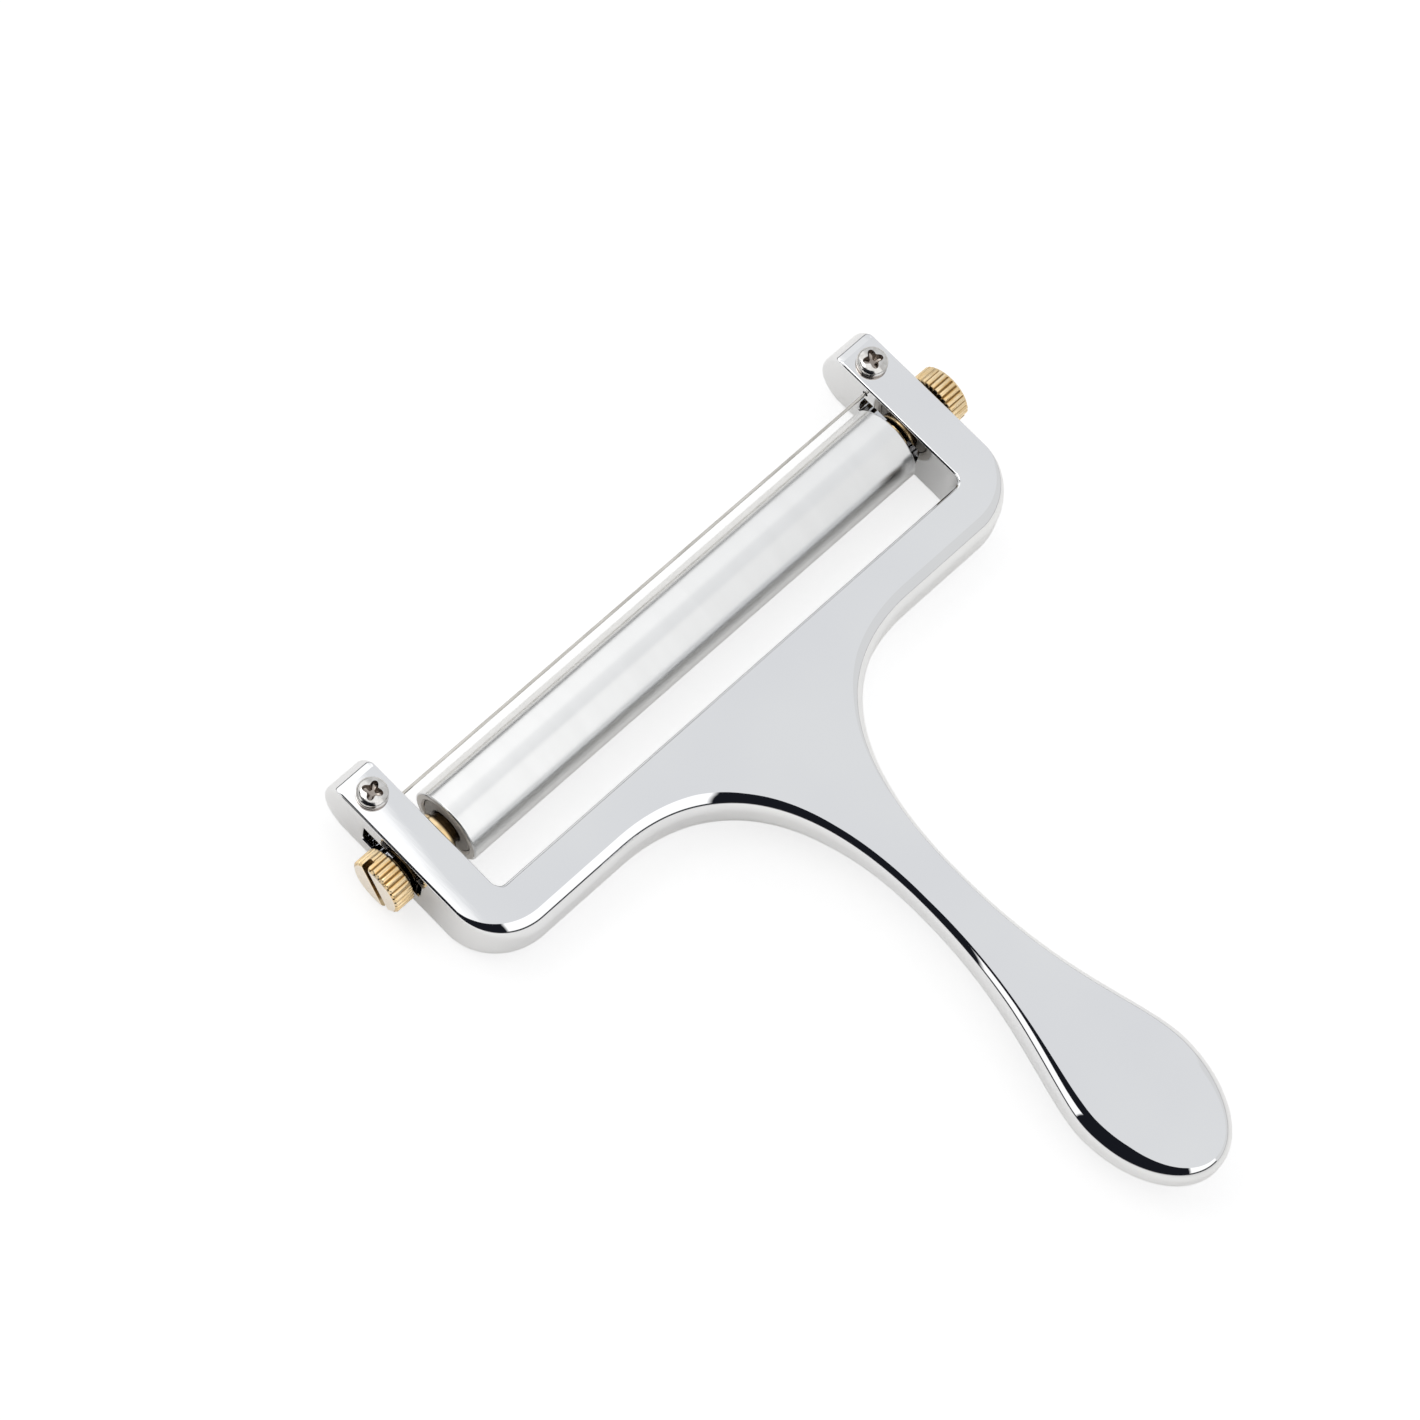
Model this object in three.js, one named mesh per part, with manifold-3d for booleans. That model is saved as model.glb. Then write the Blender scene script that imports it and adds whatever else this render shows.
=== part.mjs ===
// Hand-held cheese slicer: a cast two-armed frame with a flat handle, a cutting wire
// stretched between the arms, and a roller behind it whose distance sets the slice.
// Millimetres. X runs along the wire and the roller, +Y from the handle to the arm tips,
// +Z out of the flat top face. The origin is on the top face, in the middle of the
// crossbar. Each piece is drawn with Y measured from the crossbar's inner edge, and the
// assembly at the end moves them all forward by half the crossbar's width.
import * as THREE from "three";
import { mergeVertices } from "three/addons/utils/BufferGeometryUtils.js";
import Module from "manifold-3d";

const wasm = await Module();
wasm.setup();

// ---- driving dimensions ----

// frame
const FRAME_WIDTH = 133;
const FRAME_DEPTH = 13.5;
const ARM_WIDTH = 8.5;
const ARM_REACH = 34.9;
const ARM_TOP_REACH = 31.7;
const NOSE_RADIUS = 6;
const NOSE_PULL = 5.2;
const BAR_WIDTH = 9.8;
const OUTER_CORNER = 11.5;
const INNER_CORNER = 1.8;
const EDGE_ROUND = 0.6;

// handle, as distances behind the crossbar's inner edge and half widths
const HANDLE_END = 120.5;
const PADDLE_AT = 100.5;
const PADDLE_HALF = 12.9;
const NECK_AT = 52;
const NECK_HALF = 5;
const FLARE_HALF = 36;
const NECK_DEPTH = 7.2;
const PADDLE_DEPTH = 9.2;

// roller and its place in the slots
const ROLLER_RADIUS = 7.65;
const ROLLER_HALF = 55.4;
const ROLLER_BORE = 5.85;
const ROLLER_CHAMFER = 0.35;
const ROLLER_SHIFT = 0.45;
const AXIS_Y = 15.9;
const AXIS_Z = -FRAME_DEPTH / 2;
const SLOT_REAR = 10.1;
const SLOT_FRONT = 24.9;
const SLOT_HEIGHT = 5.4;
const SLOT_CORNER = 0.6;

// bush in each end of the roller
const BUSH_LENGTH = 8;
const BUSH_RECESS = 0.2;
const JOURNAL_RADIUS = 3.2;
const JOURNAL_GAP = 0.15;

// brass hub between arm and roller
const HUB_FLANGE_RADIUS = 4.1;
const HUB_FLANGE = 1.6;
const HUB_KEY_LENGTH = 5.6;
const HUB_KEY_HEIGHT = 4.9;
const HUB_KEY_REACH = 6;
const JOURNAL_LENGTH = 9;

// knurled thumbscrew
const KNOB_RADIUS = 5.7;
const KNOB_LENGTH = 4.5;
const KNOB_TEETH = 30;
const KNOB_TOOTH = 0.45;
const COLLAR_RADIUS = 3.9;
const COLLAR_LENGTH = 0.65;
const SHANK_RADIUS = 1.95;
const SHANK_LENGTH = 13.5;
const TAPPED_RADIUS = 2.2;
const DRIVER_SLOT = 1.8;
const DRIVER_DEPTH = 2;
// lean of each driver slot from upright, as the knob is drawn on the right-hand side
const DRIVER_TURN = { right: THREE.MathUtils.degToRad(80), left: THREE.MathUtils.degToRad(-34) };

// wire and its clamp screws
const WIRE_RADIUS = 0.3;
const WIRE_Y = 24.4;
const WIRE_Z = -2.2;
const WIRE_HOLE = 0.6;
const COIL_RADIUS = 1.95;
const COIL_TURNS = 2.4;
const COIL_PITCH = 0.66;
const CLAMP_Y = 27.4;
const CLAMP_HEAD_RADIUS = 2.95;
const CLAMP_HEAD_HEIGHT = 1.9;
const CLAMP_SHANK = 1.45;
const CLAMP_LENGTH = 8;
const CLAMP_HOLE = 1.65;
const CLAMP_WELL = 2.55;
const RECESS_SPAN = 3.9;
const RECESS_WIDTH = 1.2;
const RECESS_DEPTH = 1.3;
// turn of one wing pair of each cross recess from +X
const RECESS_TURN = { right: THREE.MathUtils.degToRad(62), left: THREE.MathUtils.degToRad(29) };

const GAP = 0.15;
const OVERSHOOT = 1;

// ---- worked-out places ----

const HALF_WIDTH = FRAME_WIDTH / 2;
const ARM_INNER = HALF_WIDTH - ARM_WIDTH;
const ARM_MIDDLE = HALF_WIDTH - ARM_WIDTH / 2;
const CHEEK_GAP = 2 * GAP;
const HUB_FACE = ARM_INNER - CHEEK_GAP;
const KNOB_FACE = HALF_WIDTH + CHEEK_GAP;

// ---- solids ----

function toSolid(geometry) {
  const bare = geometry.clone();
  bare.deleteAttribute("normal");
  bare.deleteAttribute("uv");
  const merged = mergeVertices(bare);
  return new wasm.Manifold(new wasm.Mesh({
    numProp: 3,
    vertProperties: new Float32Array(merged.attributes.position.array),
    triVerts: new Uint32Array(merged.index.array),
  }));
}

function toGeometry(solid) {
  const mesh = solid.getMesh();
  const geometry = new THREE.BufferGeometry();
  geometry.setAttribute("position", new THREE.BufferAttribute(mesh.vertProperties, 3));
  geometry.setIndex(new THREE.BufferAttribute(mesh.triVerts, 1));
  geometry.computeVertexNormals();
  return geometry;
}

// A turned solid: points are [radius, distance along +X], from axis to axis.
function turned(points, segments) {
  const profile = points.map(([radius, along]) => new THREE.Vector2(radius, along));
  return new THREE.LatheGeometry(profile, segments).rotateZ(-Math.PI / 2);
}

// A cylinder along X from one end to the other.
function rod(radius, from, to, segments) {
  return new THREE.CylinderGeometry(radius, radius, to - from, segments)
    .rotateZ(-Math.PI / 2)
    .translate((from + to) / 2, 0, 0);
}

// An extrusion whose drawing lies in YZ and whose thickness runs along X from one x to another.
function acrossX(shape, from, to, curveSegments) {
  const options = { depth: to - from, bevelEnabled: false, curveSegments };
  const geometry = new THREE.ExtrudeGeometry(shape, options);
  const axes = new THREE.Matrix4().makeBasis(
    new THREE.Vector3(0, 1, 0),
    new THREE.Vector3(0, 0, 1),
    new THREE.Vector3(1, 0, 0),
  );
  return geometry.applyMatrix4(axes).translate(from, 0, 0);
}

function roundedRectangle(left, right, bottom, top, radius) {
  const shape = new THREE.Shape();
  shape.moveTo(left + radius, bottom);
  shape.lineTo(right - radius, bottom);
  shape.absarc(right - radius, bottom + radius, radius, -Math.PI / 2, 0, false);
  shape.lineTo(right, top - radius);
  shape.absarc(right - radius, top - radius, radius, 0, Math.PI / 2, false);
  shape.lineTo(left + radius, top);
  shape.absarc(left + radius, top - radius, radius, Math.PI / 2, Math.PI, false);
  shape.lineTo(left, bottom + radius);
  shape.absarc(left + radius, bottom + radius, radius, Math.PI, 1.5 * Math.PI, false);
  return shape;
}

// ---- frame ----

// One side of the handle and flare as cubic curves, each as [control, control, end].
const HANDLE_CURVES = [
  [[7.1, -HANDLE_END], [PADDLE_HALF, -111.5], [PADDLE_HALF, -PADDLE_AT]],
  [[PADDLE_HALF, -91], [NECK_HALF, -78], [NECK_HALF, -NECK_AT]],
  [[NECK_HALF, -30], [12, -BAR_WIDTH], [FLARE_HALF, -BAR_WIDTH]],
];

// The frame seen from above: handle end, right side, arms and mouth, then the left side.
function planOutline() {
  const shape = new THREE.Shape();
  shape.moveTo(0, -HANDLE_END);
  for (const [a, b, end] of HANDLE_CURVES) {
    shape.bezierCurveTo(a[0], a[1], b[0], b[1], end[0], end[1]);
  }
  const cornerX = HALF_WIDTH - OUTER_CORNER;
  const cornerY = OUTER_CORNER - BAR_WIDTH;
  const innerX = ARM_INNER - INNER_CORNER;
  shape.lineTo(cornerX, -BAR_WIDTH);
  shape.absarc(cornerX, cornerY, OUTER_CORNER, -Math.PI / 2, 0, false);
  shape.lineTo(HALF_WIDTH, ARM_REACH);
  shape.lineTo(ARM_INNER, ARM_REACH);
  shape.lineTo(ARM_INNER, INNER_CORNER);
  shape.absarc(innerX, INNER_CORNER, INNER_CORNER, 0, -Math.PI / 2, true);
  shape.lineTo(-innerX, 0);
  shape.absarc(-innerX, INNER_CORNER, INNER_CORNER, -Math.PI / 2, -Math.PI, true);
  shape.lineTo(-ARM_INNER, ARM_REACH);
  shape.lineTo(-HALF_WIDTH, ARM_REACH);
  shape.lineTo(-HALF_WIDTH, cornerY);
  shape.absarc(-cornerX, cornerY, OUTER_CORNER, -Math.PI, -Math.PI / 2, false);
  shape.lineTo(-FLARE_HALF, -BAR_WIDTH);
  for (let i = HANDLE_CURVES.length - 1; i >= 0; i -= 1) {
    const [a, b] = HANDLE_CURVES[i];
    const end = i > 0 ? HANDLE_CURVES[i - 1][2] : [0, -HANDLE_END];
    shape.bezierCurveTo(-b[0], b[1], -a[0], a[1], -end[0], end[1]);
  }
  return shape;
}

// The frame seen from the side: flat top, rounded nose, and an underside that rises from
// the crossbar to the neck and sinks again under the paddle.
function sideOutline() {
  const shape = new THREE.Shape();
  const noseY = ARM_REACH - NOSE_RADIUS;
  const noseZ = NOSE_RADIUS - FRAME_DEPTH;
  shape.moveTo(-HANDLE_END - OVERSHOOT, 0);
  shape.lineTo(-HANDLE_END - OVERSHOOT, -PADDLE_DEPTH / 2);
  shape.bezierCurveTo(
    -HANDLE_END, -PADDLE_DEPTH + 1.5,
    -HANDLE_END + 7, -PADDLE_DEPTH,
    -PADDLE_AT, -PADDLE_DEPTH,
  );
  shape.bezierCurveTo(-PADDLE_AT + 20, -PADDLE_DEPTH, -NECK_AT - 22, -NECK_DEPTH, -NECK_AT, -NECK_DEPTH);
  shape.bezierCurveTo(-28, -NECK_DEPTH, -17, -FRAME_DEPTH, -BAR_WIDTH + 2, -FRAME_DEPTH);
  shape.lineTo(noseY, -FRAME_DEPTH);
  shape.absarc(noseY, noseZ, NOSE_RADIUS, -Math.PI / 2, 0, false);
  shape.quadraticCurveTo(ARM_REACH, noseZ + NOSE_PULL, ARM_TOP_REACH, 0);
  return shape;
}

// The tilted hole that leads the wire from the arm's inner face to the clamp screw's well.
function wireEntry() {
  const toScrew = new THREE.Vector2(ARM_MIDDLE - ARM_INNER, CLAMP_Y - WIRE_Y);
  const slope = toScrew.angle() - Math.asin(COIL_RADIUS / toScrew.length());
  const length = Math.sqrt(toScrew.lengthSq() - COIL_RADIUS ** 2);
  return { slope, length };
}

function frameGeometry() {
  const plan = new THREE.ExtrudeGeometry(planOutline(), {
    depth: FRAME_DEPTH - 2 * EDGE_ROUND,
    bevelThickness: EDGE_ROUND,
    bevelSize: EDGE_ROUND,
    bevelOffset: -EDGE_ROUND,
    bevelSegments: 2,
    curveSegments: 14,
  }).translate(0, 0, EDGE_ROUND - FRAME_DEPTH);
  const halfSpan = HALF_WIDTH + OVERSHOOT;
  let solid = toSolid(plan).intersect(toSolid(acrossX(sideOutline(), -halfSpan, halfSpan, 10)));
  const slot = roundedRectangle(
    SLOT_REAR, SLOT_FRONT,
    AXIS_Z - SLOT_HEIGHT / 2, AXIS_Z + SLOT_HEIGHT / 2,
    SLOT_CORNER,
  );
  const { slope, length } = wireEntry();
  for (const side of [-1, 1]) {
    const arm = [side * (ARM_INNER - OVERSHOOT), side * halfSpan].sort((a, b) => a - b);
    solid = solid.subtract(toSolid(acrossX(slot, arm[0], arm[1], 3)));
    const well = new THREE.CylinderGeometry(CLAMP_WELL, CLAMP_WELL, 6, 24)
      .rotateX(Math.PI / 2)
      .translate(side * ARM_MIDDLE, CLAMP_Y, WIRE_Z - WIRE_HOLE + 3);
    const thread = new THREE.CylinderGeometry(CLAMP_HOLE, CLAMP_HOLE, 2 * (CLAMP_LENGTH + 1), 16)
      .rotateX(Math.PI / 2)
      .translate(side * ARM_MIDDLE, CLAMP_Y, 0);
    const entry = rod(WIRE_HOLE, -OVERSHOOT, length, 12);
    entry.rotateZ(slope).translate(ARM_INNER, WIRE_Y, WIRE_Z);
    if (side < 0) {
      entry.rotateY(Math.PI).translate(0, 0, 2 * WIRE_Z);
    }
    solid = solid.subtract(toSolid(well)).subtract(toSolid(thread)).subtract(toSolid(entry));
  }
  return toGeometry(solid);
}

// ---- wire ----

// Half of the wire's line, from the middle (t = 0) to the end of its helix round the
// right-hand clamp screw (t = 1). Steps are even in t, and most of them lie in the helix.
const WIRE_STEPS = 48;
const STRAIGHT_STEPS = 4;
const ENTRY_STEPS = 2;
const BENT_AT = STRAIGHT_STEPS / WIRE_STEPS;
const WOUND_AT = (STRAIGHT_STEPS + ENTRY_STEPS) / WIRE_STEPS;

function halfWirePoint(t, target) {
  const { slope, length } = wireEntry();
  if (t <= BENT_AT) {
    return target.set(ARM_INNER * t / BENT_AT, WIRE_Y, WIRE_Z);
  }
  if (t <= WOUND_AT) {
    const past = length * (t - BENT_AT) / (WOUND_AT - BENT_AT);
    return target.set(
      ARM_INNER + past * Math.cos(slope),
      WIRE_Y + past * Math.sin(slope),
      WIRE_Z,
    );
  }
  const turns = COIL_TURNS * (t - WOUND_AT) / (1 - WOUND_AT);
  const angle = slope - Math.PI / 2 + turns * 2 * Math.PI;
  return target.set(
    ARM_MIDDLE + COIL_RADIUS * Math.cos(angle),
    CLAMP_Y + COIL_RADIUS * Math.sin(angle),
    WIRE_Z + COIL_PITCH * turns,
  );
}

class WholeWire extends THREE.Curve {
  getUtoTmapping(u) {
    return u;
  }

  getPoint(t, target = new THREE.Vector3()) {
    const side = 2 * t - 1;
    halfWirePoint(Math.abs(side), target);
    target.x *= Math.sign(side);
    return target;
  }
}

function wireGeometry() {
  const round = new THREE.Shape();
  round.absarc(0, 0, WIRE_RADIUS, 0, 2 * Math.PI, false);
  return new THREE.ExtrudeGeometry(round, {
    steps: 2 * WIRE_STEPS,
    curveSegments: 4,
    extrudePath: new WholeWire(),
    bevelEnabled: false,
  });
}

// ---- turned parts of the roller, drawn along +X from the frame's middle ----

function tubeGeometry() {
  const bevelled = [
    [ROLLER_BORE, -ROLLER_HALF + ROLLER_CHAMFER],
    [ROLLER_BORE + ROLLER_CHAMFER, -ROLLER_HALF],
    [ROLLER_RADIUS - ROLLER_CHAMFER, -ROLLER_HALF],
    [ROLLER_RADIUS, -ROLLER_HALF + ROLLER_CHAMFER],
    [ROLLER_RADIUS, ROLLER_HALF - ROLLER_CHAMFER],
    [ROLLER_RADIUS - ROLLER_CHAMFER, ROLLER_HALF],
    [ROLLER_BORE + ROLLER_CHAMFER, ROLLER_HALF],
    [ROLLER_BORE, ROLLER_HALF - ROLLER_CHAMFER],
    [ROLLER_BORE, -ROLLER_HALF + ROLLER_CHAMFER],
  ];
  return turned(bevelled, 48);
}

function bushGeometry() {
  const outer = ROLLER_BORE - GAP;
  const inner = JOURNAL_RADIUS + JOURNAL_GAP;
  const from = ROLLER_HALF - BUSH_RECESS - BUSH_LENGTH;
  const to = ROLLER_HALF - BUSH_RECESS;
  return turned([[inner, from], [outer, from], [outer, to], [inner, to], [inner, from]], 32);
}

// Flange against the arm, key that stops it turning in the slot, journal for the roller.
function hubGeometry() {
  const flangeInner = HUB_FACE - HUB_FLANGE;
  const body = turned([
    [0, flangeInner - JOURNAL_LENGTH],
    [JOURNAL_RADIUS, flangeInner - JOURNAL_LENGTH],
    [JOURNAL_RADIUS, flangeInner],
    [HUB_FLANGE_RADIUS, flangeInner],
    [HUB_FLANGE_RADIUS, HUB_FACE],
    [0, HUB_FACE],
  ], 32);
  const halfLength = HUB_KEY_LENGTH / 2;
  const halfHeight = HUB_KEY_HEIGHT / 2;
  const key = acrossX(
    roundedRectangle(-halfLength, halfLength, -halfHeight, halfHeight, SLOT_CORNER),
    HUB_FACE - HUB_FLANGE / 2,
    HUB_FACE + HUB_KEY_REACH,
    3,
  );
  const tapped = rod(
    TAPPED_RADIUS,
    KNOB_FACE - SHANK_LENGTH - GAP,
    HUB_FACE + HUB_KEY_REACH + OVERSHOOT,
    24,
  );
  return toGeometry(toSolid(body).add(toSolid(key)).subtract(toSolid(tapped)));
}

function knobOutline() {
  const shape = new THREE.Shape();
  const step = 2 * Math.PI / KNOB_TEETH;
  for (let i = 0; i < KNOB_TEETH; i += 1) {
    const root = KNOB_RADIUS - KNOB_TOOTH;
    const places = [[root, 0], [KNOB_RADIUS, 0.35], [KNOB_RADIUS, 0.65]];
    for (const [radius, share] of places) {
      const angle = (i + share) * step;
      const point = [radius * Math.cos(angle), radius * Math.sin(angle)];
      if (i === 0 && share === 0) {
        shape.moveTo(...point);
      } else {
        shape.lineTo(...point);
      }
    }
  }
  return shape;
}

function thumbscrewGeometry(driverTurn) {
  const knurlFrom = KNOB_FACE + COLLAR_LENGTH;
  const knurlTo = knurlFrom + KNOB_LENGTH;
  const head = acrossX(knobOutline(), knurlFrom, knurlTo, 1);
  const stem = turned([
    [0, KNOB_FACE - SHANK_LENGTH],
    [SHANK_RADIUS, KNOB_FACE - SHANK_LENGTH],
    [SHANK_RADIUS, KNOB_FACE],
    [COLLAR_RADIUS, KNOB_FACE],
    [COLLAR_RADIUS, knurlFrom + KNOB_LENGTH / 2],
    [0, knurlFrom + KNOB_LENGTH / 2],
  ], 24);
  const slot = new THREE.BoxGeometry(2 * DRIVER_DEPTH, DRIVER_SLOT, 3 * KNOB_RADIUS)
    .rotateX(-driverTurn)
    .translate(knurlTo, 0, 0);
  return toGeometry(toSolid(head).add(toSolid(stem)).subtract(toSolid(slot)));
}

// ---- clamp screw, drawn upright with its head's underside at z = 0 ----

function clampScrewGeometry(recessTurn) {
  const crown = CLAMP_HEAD_HEIGHT;
  const rim = 0.75 * CLAMP_HEAD_RADIUS;
  const profile = [
    new THREE.Vector2(0, -CLAMP_LENGTH),
    new THREE.Vector2(CLAMP_SHANK * 0.7, -CLAMP_LENGTH),
    new THREE.Vector2(CLAMP_SHANK, -CLAMP_LENGTH + 0.5),
    new THREE.Vector2(CLAMP_SHANK, 0),
    new THREE.Vector2(CLAMP_HEAD_RADIUS, 0),
    new THREE.Vector2(CLAMP_HEAD_RADIUS, crown * 0.3),
  ];
  const dome = new THREE.CubicBezierCurve(
    new THREE.Vector2(CLAMP_HEAD_RADIUS, crown * 0.3),
    new THREE.Vector2(CLAMP_HEAD_RADIUS, crown * 0.8),
    new THREE.Vector2(rim, crown),
    new THREE.Vector2(0, crown),
  );
  profile.push(...dome.getPoints(6).slice(1));
  const body = toSolid(new THREE.LatheGeometry(profile, 24).rotateX(Math.PI / 2));
  let cut = body;
  for (const turn of [recessTurn, recessTurn + Math.PI / 2]) {
    const blade = new THREE.BoxGeometry(RECESS_SPAN, RECESS_WIDTH, 2 * RECESS_DEPTH)
      .rotateZ(turn)
      .translate(0, 0, crown);
    cut = cut.subtract(toSolid(blade));
  }
  return toGeometry(cut);
}

// ---- assembly ----

function finish(color, roughness, metalness) {
  return new THREE.MeshStandardMaterial({ color, roughness, metalness });
}

function piece(name, geometry, material) {
  const mesh = new THREE.Mesh(geometry, material);
  mesh.name = name;
  return mesh;
}

const chrome = finish(0xdfe2e8, 0.08, 1);
const aluminium = finish(0xd9dbdd, 0.34, 1);
const brass = finish(0xdcb96f, 0.3, 1);
const steel = finish(0xc9c6c2, 0.22, 1);
const acetal = finish(0x3a352f, 0.55, 0);

const slicer = new THREE.Group();
const fromInnerEdge = new THREE.Group();
fromInnerEdge.position.y = BAR_WIDTH / 2;
slicer.add(fromInnerEdge);
fromInnerEdge.add(piece("frame", frameGeometry(), chrome));
fromInnerEdge.add(piece("cutting_wire", wireGeometry(), steel));

const carriage = new THREE.Group();
carriage.position.set(0, AXIS_Y, AXIS_Z);
fromInnerEdge.add(carriage);

const roller = new THREE.Group();
roller.position.x = ROLLER_SHIFT;
carriage.add(roller);
roller.add(piece("roller_tube", tubeGeometry(), aluminium));

// The left-hand copies are the right-hand ones turned half round the vertical axis.
for (const [side, turn] of [["right", 0], ["left", Math.PI]]) {
  const bushHolder = new THREE.Group();
  bushHolder.rotation.z = turn;
  bushHolder.add(piece(`roller_bush_${side}`, bushGeometry(), acetal));
  roller.add(bushHolder);

  const holder = new THREE.Group();
  holder.rotation.z = turn;
  holder.add(piece(`hub_${side}`, hubGeometry(), brass));
  holder.add(piece(`thumbscrew_${side}`, thumbscrewGeometry(DRIVER_TURN[side]), brass));
  carriage.add(holder);

  const screw = piece(`clamp_screw_${side}`, clampScrewGeometry(RECESS_TURN[side]), steel);
  screw.position.set(turn ? -ARM_MIDDLE : ARM_MIDDLE, CLAMP_Y, GAP);
  fromInnerEdge.add(screw);
}

export default slicer;
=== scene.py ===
"""Looks of the roller cheese slicer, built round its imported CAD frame.

Every length is in metres, in the CAD frame: X along the wire, +Y towards the arm tips,
+Z out of the flat top face. Pieces are drawn with Y measured from the crossbar's inner
edge, like the CAD source, and place() moves them to the origin in the middle of the bar.
"""

import math

import bmesh
import bpy
import numpy as np
from mathutils import Matrix, Vector
from mathutils.geometry import delaunay_2d_cdt


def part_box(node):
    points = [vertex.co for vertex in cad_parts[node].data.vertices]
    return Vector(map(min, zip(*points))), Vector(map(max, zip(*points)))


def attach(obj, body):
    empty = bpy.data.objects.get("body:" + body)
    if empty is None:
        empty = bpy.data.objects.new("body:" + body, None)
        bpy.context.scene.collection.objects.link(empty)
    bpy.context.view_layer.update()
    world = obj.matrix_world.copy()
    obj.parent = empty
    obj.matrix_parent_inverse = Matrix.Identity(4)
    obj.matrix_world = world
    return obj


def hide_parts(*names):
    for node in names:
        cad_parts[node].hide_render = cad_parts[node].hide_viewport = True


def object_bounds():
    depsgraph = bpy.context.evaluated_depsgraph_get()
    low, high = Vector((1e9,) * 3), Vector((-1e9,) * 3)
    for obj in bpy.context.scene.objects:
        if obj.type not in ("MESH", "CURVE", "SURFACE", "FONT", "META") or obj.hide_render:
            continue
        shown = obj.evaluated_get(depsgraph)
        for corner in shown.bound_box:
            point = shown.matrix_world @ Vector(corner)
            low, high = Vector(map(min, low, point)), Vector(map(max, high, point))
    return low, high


MM = 0.001
TURN = 2 * math.pi
HANDS = {-1: "left", 1: "right"}

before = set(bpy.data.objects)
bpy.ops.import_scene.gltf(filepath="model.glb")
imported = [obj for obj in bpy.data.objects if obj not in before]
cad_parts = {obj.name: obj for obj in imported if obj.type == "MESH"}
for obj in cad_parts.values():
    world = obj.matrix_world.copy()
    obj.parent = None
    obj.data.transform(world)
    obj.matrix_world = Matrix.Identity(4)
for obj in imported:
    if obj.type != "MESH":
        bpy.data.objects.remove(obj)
cad_low, cad_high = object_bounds()

# ---- shape of the casting, in plan and along its length ----

ARM_WIDTH = 8.5 * MM
ARM_TOP_REACH = 31.7 * MM
NOSE_RADIUS = 6 * MM
NOSE_PULL = 5.2 * MM
TIP_CORNER = 0.8 * MM
BAR_WIDTH = 9.8 * MM
OUTER_CORNER = 11.5 * MM
INNER_CORNER = 1.8 * MM
PADDLE_AT = 100.5 * MM
PADDLE_HALF = 12.9 * MM
NECK_AT = 52 * MM
NECK_HALF = 5 * MM
FLARE_HALF = 36 * MM
NECK_DEPTH = 7.2 * MM
PADDLE_DEPTH = 9.2 * MM
SLOT_REAR = 10.1 * MM
SLOT_FRONT = 24.9 * MM
SLOT_HEIGHT = 5.4 * MM
SLOT_CORNER = 0.6 * MM

# ---- sizes read from the CAD nodes ----

TO_ORIGIN = Vector((0, BAR_WIDTH / 2, 0))


def node_box(name):
    """A CAD node's box, with Y measured from the crossbar's inner edge."""
    low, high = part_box(name)
    return low - TO_ORIGIN, high - TO_ORIGIN


frame_low, frame_high = node_box("frame")
HALF_WIDTH = frame_high.x
ARM_REACH = frame_high.y
FRAME_DEPTH = -frame_low.z
HANDLE_END = -frame_low.y
ARM_INNER = HALF_WIDTH - ARM_WIDTH
ARM_MIDDLE = HALF_WIDTH - ARM_WIDTH / 2

tube_low, tube_high = node_box("roller_tube")
TUBE_RADIUS = (tube_high.z - tube_low.z) / 2
TUBE_HALF = (tube_high.x - tube_low.x) / 2
TUBE_SHIFT = (tube_high.x + tube_low.x) / 2
AXIS = Vector((0, (tube_high.y + tube_low.y) / 2, (tube_high.z + tube_low.z) / 2))

bush_low, bush_high = node_box("roller_bush_right")
BUSH_RADIUS = (bush_high.z - bush_low.z) / 2

hub_low, hub_high = node_box("hub_right")
HUB_FLANGE_RADIUS = (hub_high.z - hub_low.z) / 2

knob_low, knob_high = node_box("thumbscrew_right")
KNOB_RADIUS = (knob_high.z - knob_low.z) / 2
KNOB_END = knob_high.x

screw_low, screw_high = node_box("clamp_screw_right")
HEAD_RADIUS = (screw_high.x - screw_low.x) / 2
HEAD_TOP = screw_high.z
SCREW_END = screw_low.z
CLAMP_Y = (screw_low.y + screw_high.y) / 2


# ---- small mesh tools ----


def bezier(points, count):
    """A cubic curve's points, without the last one."""
    a, b, c, d = (np.array(p, float) for p in points)
    t = np.linspace(0, 1, count, endpoint=False)[:, None]
    s = 1 - t
    return s**3 * a + 3 * s**2 * t * b + 3 * s * t**2 * c + t**3 * d


def arc(centre, radius, start, end, count, last=False):
    """An arc's points, with its angles in degrees."""
    angle = np.radians(np.linspace(start, end, count + last, endpoint=last))
    circle = np.stack([np.cos(angle), np.sin(angle)], 1)
    return np.array(centre, float) + radius * circle


def rounded_rectangle(left, right, bottom, top, radius):
    """A rectangle's outline with rounded corners, anticlockwise."""
    centres = (
        (right - radius, bottom + radius),
        (right - radius, top - radius),
        (left + radius, top - radius),
        (left + radius, bottom + radius),
    )
    return np.concatenate([
        arc(centre, radius, 90 * k - 90, 90 * k, 6, last=True) for k, centre in enumerate(centres)
    ])


def line(start, end, step):
    """Even points along a line, without the last one."""
    a, b = np.array(start, float), np.array(end, float)
    count = max(1, round(float(np.linalg.norm(b - a)) / step))
    return a + (b - a) * np.linspace(0, 1, count, endpoint=False)[:, None]


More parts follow.
